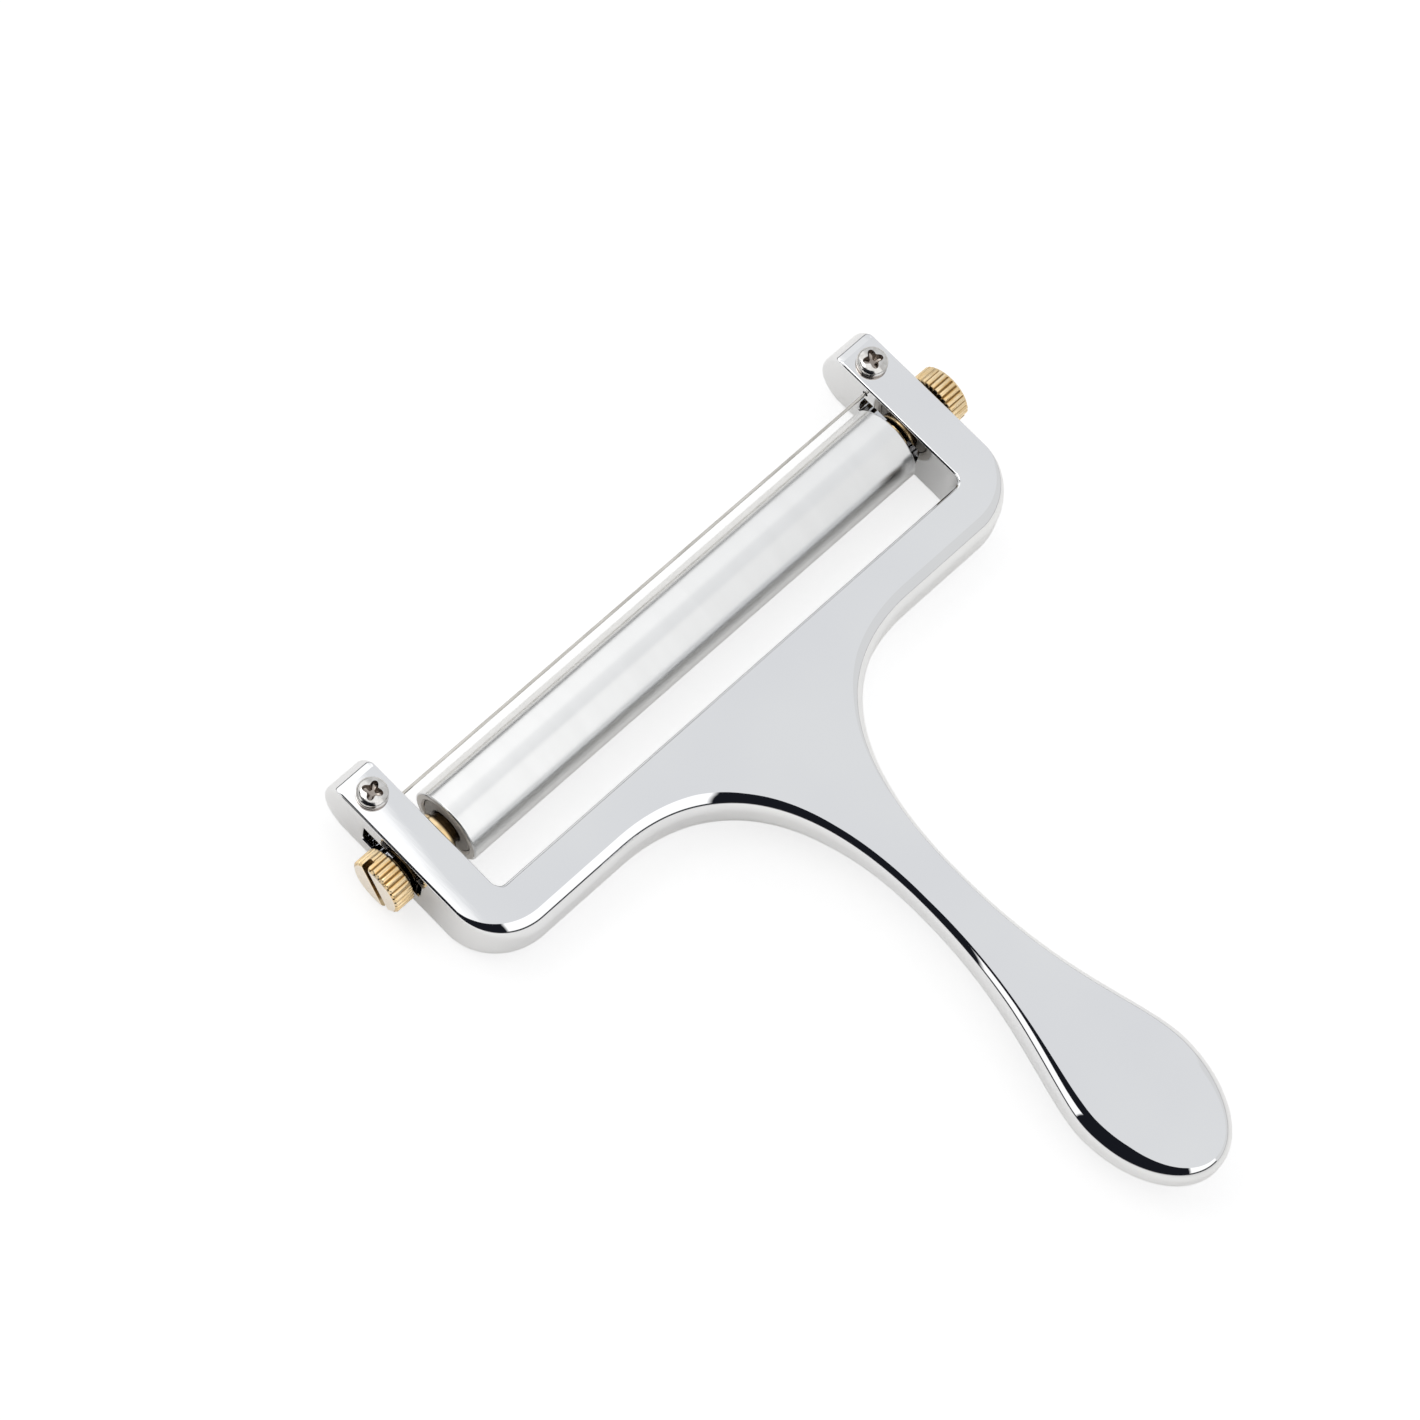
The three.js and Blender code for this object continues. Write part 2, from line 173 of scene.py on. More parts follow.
def mesh_object(name, verts, faces):
    """A mesh object in the scene, with its faces turned outwards."""
    mesh = bpy.data.meshes.new(name)
    mesh.from_pydata([tuple(v) for v in verts], [], faces)
    mesh.validate()
    obj = bpy.data.objects.new(name, mesh)
    bpy.context.scene.collection.objects.link(obj)
    bm = bmesh.new()
    bm.from_mesh(mesh)
    bmesh.ops.recalc_face_normals(bm, faces=bm.faces)
    bm.to_mesh(mesh)
    bm.free()
    return obj


def ring_quads(rings, closed=False):
    """Quads from each ring of points to the next, and from the last to the first if closed."""
    count = len(rings[0])
    faces = []
    for k in range(len(rings) if closed else len(rings) - 1):
        low, high = k * count, (k + 1) % len(rings) * count
        for i in range(count):
            j = (i + 1) % count
            faces.append((low + i, low + j, high + j, high + i))
    return faces


def loft(name, rings):
    """Joins equal rings of points, and caps the first and last ring."""
    count = len(rings[0])
    faces = ring_quads(rings)
    faces.append(tuple(range(count)))
    last = (len(rings) - 1) * count
    faces.append(tuple(range(last, last + count)))
    return mesh_object(name, np.concatenate(rings), faces)


def circle_ring(radius, x, count):
    """A ring round the X axis; radius may differ from point to point."""
    angle = np.linspace(0, TURN, count, endpoint=False)
    return np.column_stack([np.full(count, x), radius * np.cos(angle), radius * np.sin(angle)])


def turned(name, profile, count=96):
    """A solid turned round the X axis from (radius, x) points, capped at both ends."""
    return loft(name, [circle_ring(radius, x, count) for radius, x in profile])


def sleeve(name, profile, count=128):
    """A turned ring: the (radius, x) profile closes on itself away from the axis."""
    rings = [circle_ring(radius, x, count) for radius, x in profile]
    return mesh_object(name, np.concatenate(rings), ring_quads(rings, closed=True))


def tube_along(name, path, radius, sides=16):
    """A round wire along a path of points, capped at both ends."""
    path = np.array(path)
    along = np.gradient(path, axis=0)
    along /= np.linalg.norm(along, axis=1)[:, None]
    across = Vector((0, 0, 1))
    rings = []
    for point, direction in zip(path, along):
        direction = Vector(direction)
        across = (across - direction * across.dot(direction)).normalized()
        other = direction.cross(across)
        ring = []
        for angle in np.linspace(0, TURN, sides, endpoint=False):
            ring.append(Vector(point) + radius * (math.cos(angle) * across + math.sin(angle) * other))
        rings.append(np.array(ring))
    return loft(name, rings)


def combine(obj, other, operation):
    """Joins or cuts obj with another solid, which is then deleted."""
    modifier = obj.modifiers.new("combine", "BOOLEAN")
    modifier.operation = operation
    modifier.solver = "EXACT"
    modifier.object = other
    bpy.context.view_layer.update()
    evaluated = obj.evaluated_get(bpy.context.evaluated_depsgraph_get())
    mesh = bpy.data.meshes.new_from_object(evaluated)
    obj.modifiers.clear()
    old = obj.data
    obj.data = mesh
    bpy.data.meshes.remove(old)
    bpy.data.objects.remove(other)
    return obj


def transform(obj, matrix):
    """Moves or turns a piece's mesh, while its object stays at the origin."""
    obj.data.transform(matrix)
    obj.data.update()
    return obj


def mark_shade_and_finish(obj, amount_at):
    """Stores an amount on each face for the materials, amount_at(centre) from 0 to 1: painted shade on
    the screws and knobs, and the duller finish of the tube's ends.
    """
    marks = obj.data.attributes.new("shade_and_finish", "FLOAT", "FACE")
    marks.data.foreach_set("value", [amount_at(face.center) for face in obj.data.polygons])


def place(obj, body, material, slot, *nodes, sharp=35):
    """Shades a piece, moves it to the origin and puts it on its body for its CAD nodes."""
    transform(obj, Matrix.Translation(TO_ORIGIN))
    obj.data.shade_smooth()
    obj.data.set_sharp_from_angle(angle=math.radians(sharp))
    flat = obj.modifiers.new("flat_faces", "WEIGHTED_NORMAL")
    flat.keep_sharp = True
    flat.weight = 100
    obj.data.materials.clear()
    obj.data.materials.append(material)
    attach(obj, body)
    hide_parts(*nodes)
    return obj


# ---- materials ----

# the two ends of each material's slow colour variation
CHROME = ((0.845, 0.85, 0.865), (0.875, 0.88, 0.885))
ALUMINIUM = ((0.84, 0.842, 0.84), (0.865, 0.867, 0.865))
BRASS = ((0.83, 0.60, 0.31), (0.90, 0.72, 0.46))
SCREW_PLATE = ((0.60, 0.585, 0.56), (0.74, 0.73, 0.715))
WIRE_STEEL = ((0.55, 0.53, 0.49), (0.68, 0.66, 0.62))
PLASTIC = ((0.48, 0.445, 0.40), (0.58, 0.54, 0.49))
SAWN_ALUMINIUM = (0.90, 0.85, 0.785)
PAINTED_FACE_SHEEN = (0.97, 0.88, 0.76)
PAINTED_SHADE_BROWN = (0.06, 0.038, 0.018)
SCREW_SHADE = (0.24, 0.19, 0.155)
# how deep under its end a knob is painted paler, a painted sheen, and how softly the painted shade
# begins and ends
FACE_SKIN = (0.12 * MM, 0.02 * MM)
SHADE_SOFT = (0.2 * MM, 0.1 * MM)


def new_material(name, color, metallic, roughness):
    """A node material with its tree and shader, and flat values for whatever isn't linked."""
    material = bpy.data.materials.new(name)
    material.use_nodes = True
    tree = material.node_tree
    shader = tree.nodes["Principled BSDF"]
    shader.inputs["Base Color"].default_value = (*color, 1)
    shader.inputs["Metallic"].default_value = metallic
    shader.inputs["Roughness"].default_value = roughness
    return material, tree, shader


def noise(tree, per_mm, detail=3, stretch=(1, 1, 1), turn=(0, 0, 0)):
    """Noise in object space with about per_mm bumps to the millimetre."""
    where = tree.nodes.new("ShaderNodeTexCoord")
    mapping = tree.nodes.new("ShaderNodeMapping")
    mapping.inputs["Scale"].default_value = stretch
    mapping.inputs["Rotation"].default_value = turn
    texture = tree.nodes.new("ShaderNodeTexNoise")
    texture.inputs["Scale"].default_value = per_mm / MM
    texture.inputs["Detail"].default_value = detail
    tree.links.new(where.outputs["Object"], mapping.inputs["Vector"])
    tree.links.new(mapping.outputs["Vector"], texture.inputs["Vector"])
    return texture.outputs["Fac"]


def spread(tree, source, low, high, start=0.3, end=0.7):
    """Maps a source from start..end to low..high."""
    mapper = tree.nodes.new("ShaderNodeMapRange")
    mapper.inputs["From Min"].default_value = start
    mapper.inputs["From Max"].default_value = end
    mapper.inputs["To Min"].default_value = low
    mapper.inputs["To Max"].default_value = high
    tree.links.new(source, mapper.inputs["Value"])
    return mapper.outputs["Result"]


def tint(tree, source, first, second, start=0.35, end=0.65):
    """Runs from one colour to another with a source."""
    ramp = tree.nodes.new("ShaderNodeValToRGB")
    for element, place_at, color in zip(ramp.color_ramp.elements, (start, end), (first, second)):
        element.position = place_at
        element.color = (*color, 1)
    tree.links.new(source, ramp.inputs["Fac"])
    return ramp.outputs["Color"]


def calculate(tree, operation, first, second=0):
    """A math node on two sockets or numbers."""
    node = tree.nodes.new("ShaderNodeMath")
    node.operation = operation
    for value, socket in ((first, node.inputs[0]), (second, node.inputs[1])):
        if isinstance(value, (int, float)):
            socket.default_value = value
        else:
            tree.links.new(value, socket)
    return node.outputs["Value"]


def blend_color(tree, share, first, second):
    """first where share is 0 and second where it is 1; each is a colour or a socket."""
    node = tree.nodes.new("ShaderNodeMix")
    node.data_type = "RGBA"
    tree.links.new(share, node.inputs["Factor"])
    for value, socket in ((first, node.inputs["A"]), (second, node.inputs["B"])):
        if isinstance(value, tuple):
            socket.default_value = (*value, 1)
        else:
            tree.links.new(value, socket)
    return node.outputs["Result"]


def bump(tree, height, depth, normal=None):
    """A bump of so many metres from a height of 0 to 1, on top of another normal."""
    node = tree.nodes.new("ShaderNodeBump")
    node.inputs["Strength"].default_value = 1
    node.inputs["Distance"].default_value = depth
    tree.links.new(height, node.inputs["Height"])
    if normal:
        tree.links.new(normal, node.inputs["Normal"])
    return node.outputs["Normal"]


def shade_and_finish(tree):
    """The amount that mark_shade_and_finish stored on the faces, and 0 where there is none."""
    node = tree.nodes.new("ShaderNodeAttribute")
    node.attribute_name = "shade_and_finish"
    return node.outputs["Fac"]


def chrome_material():
    """Mirror-bright plate with faint smears, slow waves and hairline scratches."""
    material, tree, shader = new_material("chrome_plate", (0.86, 0.865, 0.875), 1, 0.02)
    shade = noise(tree, 0.03, 2)
    tree.links.new(tint(tree, shade, *CHROME), shader.inputs["Base Color"])
    smear = noise(tree, 0.12, 4, (1, 0.4, 1), (0, 0, 0.6))
    tree.links.new(spread(tree, smear, 0.006, 0.022), shader.inputs["Roughness"])
    wave = bump(tree, noise(tree, 0.05, 1), 0.006 * MM)
    hairline = noise(tree, 2.0, 2, (1, 0.12, 1), (0, 0, 0.5))
    tree.links.new(bump(tree, hairline, 0.00012 * MM, wave), shader.inputs["Normal"])
    return material


def aluminium_material():
    """Satin metal with fine rings round its axis, and duller sawn ends."""
    material, tree, shader = new_material("turned_aluminium", (0.86, 0.86, 0.86), 1, 0.22)
    shade = noise(tree, 0.25, 3, (1, 0.15, 0.15))
    color = blend_color(tree, shade_and_finish(tree), tint(tree, shade, *ALUMINIUM), SAWN_ALUMINIUM)
    tree.links.new(color, shader.inputs["Base Color"])
    tree.links.new(spread(tree, shade_and_finish(tree), 1, 0.25, 0, 1), shader.inputs["Metallic"])
    grain = noise(tree, 6.0, 3, (1, 0.03, 0.03))
    tree.links.new(spread(tree, grain, 0.21, 0.235), shader.inputs["Roughness"])
    tree.links.new(bump(tree, grain, 0.0003 * MM), shader.inputs["Normal"])
    return material


def brass_material(name, unshaded_from, unshaded_to):
    """Bright brass between two distances from the middle, and painted dark brown shade elsewhere,
    where it sits between other parts.

    A knob's end face is painted paler than the rest, a painted sheen.
    """
    material, tree, shader = new_material(name, (0.90, 0.72, 0.44), 1, 0.28)
    shade = noise(tree, 0.5, 3)
    clean = tint(tree, shade, *BRASS)
    where = tree.nodes.new("ShaderNodeTexCoord")
    split = tree.nodes.new("ShaderNodeSeparateXYZ")
    tree.links.new(where.outputs["Object"], split.inputs["Vector"])
    away = calculate(tree, "ABSOLUTE", split.outputs["X"])
    # painted sheen: the knob's end face turns paler brass within FACE_SKIN of its end
    face_sheen = spread(tree, away, 0, 1, KNOB_END - FACE_SKIN[0], KNOB_END - FACE_SKIN[1])
    clean = blend_color(tree, face_sheen, clean, PAINTED_FACE_SHEEN)
    # painted shade: the brass turns dark brown towards the parts it sits between and where the face
    # marks ask for it
    before = spread(tree, away, 1, 0, unshaded_from - SHADE_SOFT[0], unshaded_from + SHADE_SOFT[0])
    after = spread(tree, away, 0, 1, unshaded_to - SHADE_SOFT[1], unshaded_to + SHADE_SOFT[1])
    shaded = calculate(tree, "MAXIMUM", before, after)
    shaded = calculate(tree, "MAXIMUM", shaded, shade_and_finish(tree))
    tree.links.new(blend_color(tree, shaded, clean, PAINTED_SHADE_BROWN), shader.inputs["Base Color"])
    grain = noise(tree, 5.0, 3, (1, 0.4, 0.4))
    tree.links.new(spread(tree, grain, 0.18, 0.28), shader.inputs["Roughness"])
    tree.links.new(bump(tree, grain, 0.003 * MM), shader.inputs["Normal"])
    return material


def screw_material():
    """Dull bright plate, with brown painted shade in the recess and a painted shadow under the head.
    """
    material, tree, shader = new_material("plated_screw", (0.76, 0.75, 0.73), 1, 0.12)
    shade = noise(tree, 1.2, 4)
    color = blend_color(tree, shade_and_finish(tree), tint(tree, shade, *SCREW_PLATE), SCREW_SHADE)
    tree.links.new(color, shader.inputs["Base Color"])
    tree.links.new(spread(tree, shade, 0.08, 0.20), shader.inputs["Roughness"])
    tree.links.new(bump(tree, noise(tree, 4.0, 3), 0.010 * MM), shader.inputs["Normal"])
    return material


def wire_material():
    """Drawn stainless steel with streaks along the wire."""
    material, tree, shader = new_material("drawn_wire", (0.62, 0.60, 0.56), 1, 0.22)
    grain = noise(tree, 2.0, 2, (0.1, 1, 1))
    tree.links.new(tint(tree, grain, *WIRE_STEEL), shader.inputs["Base Color"])
    tree.links.new(spread(tree, grain, 0.16, 0.32), shader.inputs["Roughness"])
    return material


def bush_material():
    """Warm grey moulded plastic."""
    material, tree, shader = new_material("bearing_plastic", (0.53, 0.49, 0.45), 0, 0.42)
    shade = noise(tree, 1.5, 4)
    tree.links.new(tint(tree, shade, *PLASTIC), shader.inputs["Base Color"])
    tree.links.new(spread(tree, shade, 0.36, 0.5), shader.inputs["Roughness"])
    tree.links.new(bump(tree, noise(tree, 6.0, 3), 0.01 * MM), shader.inputs["Normal"])
    return material


# ---- frame casting ----

# Edge shape along the handle: distance behind the crossbar's inner edge, then the top
# edge's inset and drop, then the bottom edge's inset and rise. Millimetres.
HANDLE_EDGES = np.array([
    (0, 2.3, 2.4, 2.0, 5.0),
    (10, 2.6, 4.2, 2.2, 6.0),
    (13, 2.6, 4.0, 2.6, 6.4),
    (18, 2.1, 3.6, 2.8, 5.6),
    (32, 1.6, 2.9, 2.2, 3.2),
    (52, 1.4, 2.5, 1.8, 2.7),
    (76, 1.8, 3.1, 2.4, 3.4),
    (96, 2.4, 2.8, 3.4, 4.2),
    (108, 2.4, 2.8, 3.4, 4.2),
    (121, 1.5, 3.0, 3.2, 4.3),
]) * MM
# The top edge is part of a quarter ellipse. It starts so many degrees round it, at a
# distance in millimetres behind the inner edge: a later start makes it more like a chamfer.
EDGE_START = ((10, 12), (12, 16), (17, 27), (92, 27), (99, 50), (108, 50), (121, 30))
START_FADE = 1.5 * MM
# the crisp edges of the arms, and the top edges that look away from the handle
ARM_EDGE = 0.4 * MM
ARM_EDGE_START = 27
AHEAD_INSET = 0.6 * MM
AHEAD_DROP = 0.85 * MM
AHEAD_START = 60
AHEAD_FROM = 0.6
AHEAD_FADE = 0.3
NOSE_BLEND = 15 * MM
TOP_STEPS = 10
WALL_STEPS = 24
BOTTOM_STEPS = 9
SUPPORT = 0.25 * MM
FINE = 0.8 * MM
COARSE = 1.6 * MM
CAP_GRID = 2.2 * MM


def right_half_outline():
    """The casting's right half in plan, from the handle's end to the middle of the mouth."""
    corner = (HALF_WIDTH - OUTER_CORNER, OUTER_CORNER - BAR_WIDTH)
    tip_y = ARM_REACH - TIP_CORNER
    inner = (ARM_INNER - INNER_CORNER, INNER_CORNER)
    end = bezier([
        (0, -HANDLE_END),
        (7.1 * MM, -HANDLE_END),
        (PADDLE_HALF, -111.5 * MM),
        (PADDLE_HALF, -PADDLE_AT),
    ], 40)
    paddle = bezier([
        (PADDLE_HALF, -PADDLE_AT),
        (PADDLE_HALF, -91 * MM),
        (NECK_HALF, -78 * MM),
        (NECK_HALF, -NECK_AT),
    ], 60)
    flare = bezier([
        (NECK_HALF, -NECK_AT),
        (NECK_HALF, -30 * MM),
        (12 * MM, -BAR_WIDTH),
        (FLARE_HALF, -BAR_WIDTH),
    ], 70)
    return np.concatenate([
        end,
        paddle,
        flare,
        line((FLARE_HALF, -BAR_WIDTH), (corner[0], -BAR_WIDTH), COARSE),
        arc(corner, OUTER_CORNER, -90, 0, 26),
        line((HALF_WIDTH, corner[1]), (HALF_WIDTH, tip_y), FINE),
        arc((HALF_WIDTH - TIP_CORNER, tip_y), TIP_CORNER, 0, 90, 6),
        line((HALF_WIDTH - TIP_CORNER, ARM_REACH), (ARM_INNER + TIP_CORNER, ARM_REACH), FINE),
        arc((ARM_INNER + TIP_CORNER, tip_y), TIP_CORNER, 90, 180, 6),
        line((ARM_INNER, tip_y), (ARM_INNER, INNER_CORNER), FINE),
        arc(inner, INNER_CORNER, 0, -90, 10),
        line((inner[0], 0), (0, 0), COARSE),
    ])


def plan_outline():
    """The whole outline, anticlockwise from above, and its outward normals."""
    right = right_half_outline()
    left = right[1:][::-1] * (-1, 1)
    points = np.concatenate([right, [(0, 0)], left])
    along = np.roll(points, -1, 0) - np.roll(points, 1, 0)
    normals = np.stack([along[:, 1], -along[:, 0]], 1)
    return points, normals / np.linalg.norm(normals, axis=1)[:, None]


def depth_at(y):
    """Distance from the flat top to the underside: deep at the head, thin at the neck."""
    head_at = 2 * MM - BAR_WIDTH
    paddle = bezier([
        (-PADDLE_AT, PADDLE_DEPTH),
        (20 * MM - PADDLE_AT, PADDLE_DEPTH),
        (-NECK_AT - 22 * MM, NECK_DEPTH),
        (-NECK_AT, NECK_DEPTH),
    ], 60)
    head = bezier([
        (-NECK_AT, NECK_DEPTH),
        (-28 * MM, NECK_DEPTH),
        (-17 * MM, FRAME_DEPTH),
        (head_at, FRAME_DEPTH),
    ], 60)
    curve = np.concatenate([paddle, head, [(head_at, FRAME_DEPTH)]])
    return np.interp(y, curve[:, 0], curve[:, 1])


def nose_reach(z):
    """How far the arm's rounded nose reaches at a height z below the top face."""
    turn_z = NOSE_RADIUS - FRAME_DEPTH
    t = np.linspace(0, 1, 40)[:, None]
    start = np.array((ARM_TOP_REACH, 0))
    middle = np.array((ARM_REACH, turn_z + NOSE_PULL))
    end = np.array((ARM_REACH, turn_z))
    upper = (1 - t) ** 2 * start + 2 * t * (1 - t) * middle + t**2 * end
    lower = arc((ARM_REACH - NOSE_RADIUS, turn_z), NOSE_RADIUS, 0, -90, 60, last=True)
    curve = np.concatenate([upper, lower[1:]])[::-1]
    return np.interp(z, curve[:, 1], curve[:, 0])


def faces_ahead(normals):
    """1 where the outline faces away from the handle, fading to 0 round the corners."""
    return np.clip((normals[:, 1] - AHEAD_FROM) / AHEAD_FADE, 0, 1)


def edge_shape(points, normals):
    """Top inset, top drop, bottom inset and bottom rise at each outline point."""
    x, y = points[:, 0], points[:, 1]
    shape = np.stack(
        [np.interp(-y, HANDLE_EDGES[:, 0], HANDLE_EDGES[:, k]) for k in range(1, 5)], 1
    )
    # round the outer corner the bar's soft edge runs out into the arm's crisp one
    fade = np.clip((y + BAR_WIDTH) / OUTER_CORNER, 0, 1)[:, None]
    shape = shape * (1 - fade) + ARM_EDGE * fade
    mouth = (np.abs(x) <= ARM_INNER + TIP_CORNER) & (y >= 0)
    shape[mouth] = ARM_EDGE
    ahead = faces_ahead(normals)[:, None]
    shape[:, :2] = shape[:, :2] * (1 - ahead) + np.array((AHEAD_INSET, AHEAD_DROP)) * ahead
    return shape


def edge_start(points, normals):
    """How far round its ellipse the top edge starts at each outline point, in radians."""
    x, y = points[:, 0], points[:, 1]
    start = np.interp(-y / MM, *np.transpose(EDGE_START))
    fade = np.clip((y + BAR_WIDTH) / START_FADE, 0, 1)
    start = start * (1 - fade) + ARM_EDGE_START * fade
    start[(np.abs(x) <= ARM_INNER + TIP_CORNER) & (y >= 0)] = ARM_EDGE_START
    ahead = faces_ahead(normals)
    return np.radians(start * (1 - ahead) + AHEAD_START * ahead)


def ring_points(points, normals, inset, z):
    """One ring: the outline drawn in by inset, at height z, with the noses pulled back."""
    ring = points - normals * np.reshape(inset, (-1, 1))
    hold = ARM_REACH - NOSE_BLEND
    share = np.clip((ring[:, 1] - hold) / (ARM_REACH - 2 * TIP_CORNER - hold), 0, 1)
    y = ring[:, 1] - (ARM_REACH - nose_reach(z)) * share
    return np.column_stack([ring[:, 0], y, z])


def casting():
    """The frame before its holes are cut: rings from the flat top down to the underside."""
    points, normals = plan_outline()
    inset, drop, low_inset, rise = edge_shape(points, normals).T
    rings = [ring_points(points, normals, inset + SUPPORT, np.zeros(len(points)))]
    start = edge_start(points, normals)
    for k in range(TOP_STEPS):
        angle = start + (math.pi / 2 - start) * k / TOP_STEPS
        fall = -drop * (np.cos(start) - np.cos(angle)) / np.cos(start)
        left = inset * (1 - np.sin(angle)) / (1 - np.sin(start))
        rings.append(ring_points(points, normals, left, fall))
    wall_end = depth_at(points[:, 1]) - rise
    straight = 1 - NOSE_RADIUS / FRAME_DEPTH
    for k in range(WALL_STEPS):
        share = k / WALL_STEPS
        level = 2 * share * straight
        if share > 0.5:
            level = straight + (1 - straight) * math.sin((share - 0.5) * math.pi)
        z = -(drop + (wall_end - drop) * level)
        rings.append(ring_points(points, normals, np.zeros((len(points), 1)), z))
    for k in range(BOTTOM_STEPS + 1):
        angle = math.pi / 2 * k / BOTTOM_STEPS
        pulled = low_inset * (1 - math.cos(angle))
        y = points[:, 1] - normals[:, 1] * pulled
        z = -(depth_at(y) - rise * (1 - math.sin(angle)))
        rings.append(ring_points(points, normals, pulled, z))
    count = len(points)
    verts = [tuple(v) for v in np.concatenate(rings)]
    # the rings run downwards, so their quads turn the other way
    faces = [(a, d, c, b) for a, b, c, d in ring_quads(rings)]
    faces.append(tuple(range(count)))
    underside(verts, faces, rings[-1], (len(rings) - 1) * count)
    return mesh_object("frame_casting", verts, faces)


def underside(verts, faces, rim, first):
    """Fills the underside with small triangles that follow its depth."""
    right = rim[(rim[:, 0] > 0) & (rim[:, 1] < -MM)]
    right = right[np.argsort(right[:, 1])]
    corners = [Vector((p[0], p[1])) for p in rim]
    inside = []
    for y in np.arange(right[0, 1] + CAP_GRID, -CAP_GRID, CAP_GRID):
        reach = float(np.interp(y, right[:, 1], right[:, 0])) - CAP_GRID
        if reach > 0:
            columns = max(2, round(2 * reach / CAP_GRID))
            inside += [Vector((x, y)) for x in np.linspace(-reach, reach, columns)]
    edge = list(range(len(corners)))
    out, _, triangles, origins, _, _ = delaunay_2d_cdt(corners + inside, [], [edge], 1, 1e-9)
    where = []
    for point, sources in zip(out, origins):
        if sources and sources[0] < len(corners):
            where.append(first + sources[0])
        else:
            where.append(len(verts))
            verts.append((point.x, point.y, -float(depth_at(point.y))))
    for triangle in triangles:
        faces.append(tuple(where[i] for i in triangle))


def slot_cutter(side):
    """A cutter for one arm's slot, flared at both faces for a small chamfer."""
    chamfer = 0.25 * MM
    beyond = MM
    bottom, top = AXIS.z - SLOT_HEIGHT / 2, AXIS.z + SLOT_HEIGHT / 2
    outline = rounded_rectangle(SLOT_REAR, SLOT_FRONT, bottom, top, SLOT_CORNER)
    centre = np.array(((SLOT_REAR + SLOT_FRONT) / 2, AXIS.z))
    size = np.array((SLOT_FRONT - SLOT_REAR, SLOT_HEIGHT))
    rings = []
    for x, grow in (
        (ARM_INNER - beyond, chamfer + beyond),
        (ARM_INNER + chamfer, 0),
        (HALF_WIDTH - chamfer, 0),
        (HALF_WIDTH + beyond, chamfer + beyond),
    ):
        grown = centre + (outline - centre) * (1 + 2 * grow / size)
        rings.append(np.column_stack([np.full(len(grown), side * x), grown]))
    return loft("slot_cutter", rings)


# ---- wire and the holes it runs in ----

WIRE_RADIUS = 0.3 * MM
WIRE_Y = 24.4 * MM
WIRE_Z = -2.2 * MM
WIRE_HOLE = 0.6 * MM
COIL_RADIUS = 1.95 * MM
COIL_TURNS = 2.4
COIL_PITCH = 0.66 * MM
SHANK_RADIUS = 1.45 * MM
SHANK_HOLE = 1.65 * MM
WELL_RADIUS = 2.55 * MM
ENTRY_BEND = 0.4 * MM
ABOVE_HEAD = 4 * MM


def wire_entry():
    """Slope and length of the wire from the arm's inner face to its tangent point."""
    to_screw = Vector((ARM_MIDDLE - ARM_INNER, CLAMP_Y - WIRE_Y))
    slope = math.atan2(to_screw.y, to_screw.x) - math.asin(COIL_RADIUS / to_screw.length)
    return slope, math.sqrt(to_screw.length_squared - COIL_RADIUS**2)


def half_wire():
    """The wire from the middle of the mouth to the end of its winding, on the right."""
    slope, length = wire_entry()
    points = [(x, WIRE_Y, WIRE_Z) for x in np.linspace(0, ARM_INNER - ENTRY_BEND, 30)]
    for past in np.linspace(ENTRY_BEND, length, 8, endpoint=False):
        x = ARM_INNER + past * math.cos(slope)
        points.append((x, WIRE_Y + past * math.sin(slope), WIRE_Z))
    for turns in np.linspace(0, COIL_TURNS, 90):
        angle = slope - math.pi / 2 + turns * TURN
        x = ARM_MIDDLE + COIL_RADIUS * math.cos(angle)
        y = CLAMP_Y + COIL_RADIUS * math.sin(angle)
        points.append((x, y, WIRE_Z + COIL_PITCH * turns))
    return np.array(points)


def wire():
    """The whole wire, wound round both clamp screws."""
    right = half_wire()
    left = right[1:][::-1] * (-1, 1, 1)
    return tube_along("cutting_wire_drawn", np.concatenate([left, right]), WIRE_RADIUS)


def upright(radius, low, high, side, count=64):
    """A cylinder at a clamp screw's place."""
    piece = turned("upright", [(radius, low), (radius, high)], count)
    transform(piece, Matrix.Rotation(-math.pi / 2, 4, "Y"))
    return transform(piece, Matrix.Translation((side * ARM_MIDDLE, CLAMP_Y, 0)))


def entry_cutter(side):
    """A cutter for the small hole where the wire enters an arm."""
    slope, length = wire_entry()
    piece = turned("entry", [(WIRE_HOLE, -MM), (WIRE_HOLE, length)], 32)
    turn = slope if side > 0 else math.pi - slope
    transform(piece, Matrix.Rotation(turn, 4, "Z"))
    return transform(piece, Matrix.Translation((side * ARM_INNER, WIRE_Y, WIRE_Z)))


def frame_casting():
    """The casting with each arm's slot, well, clearance hole and wire hole."""
    obj = casting()
    for side in (-1, 1):
        combine(obj, slot_cutter(side), "DIFFERENCE")
        combine(obj, upright(WELL_RADIUS, WIRE_Z - WIRE_HOLE, ABOVE_HEAD, side), "DIFFERENCE")
        combine(obj, upright(SHANK_HOLE, -FRAME_DEPTH - MM, 0, side), "DIFFERENCE")
        combine(obj, entry_cutter(side), "DIFFERENCE")
    return obj


# ---- roller ----

TUBE_BORE = 5.85 * MM
TUBE_ROUND = 0.35 * MM
BORE_CHAMFER = 0.35 * MM
BUSH_BORE = 3.35 * MM
BUSH_ROUND = 0.2 * MM


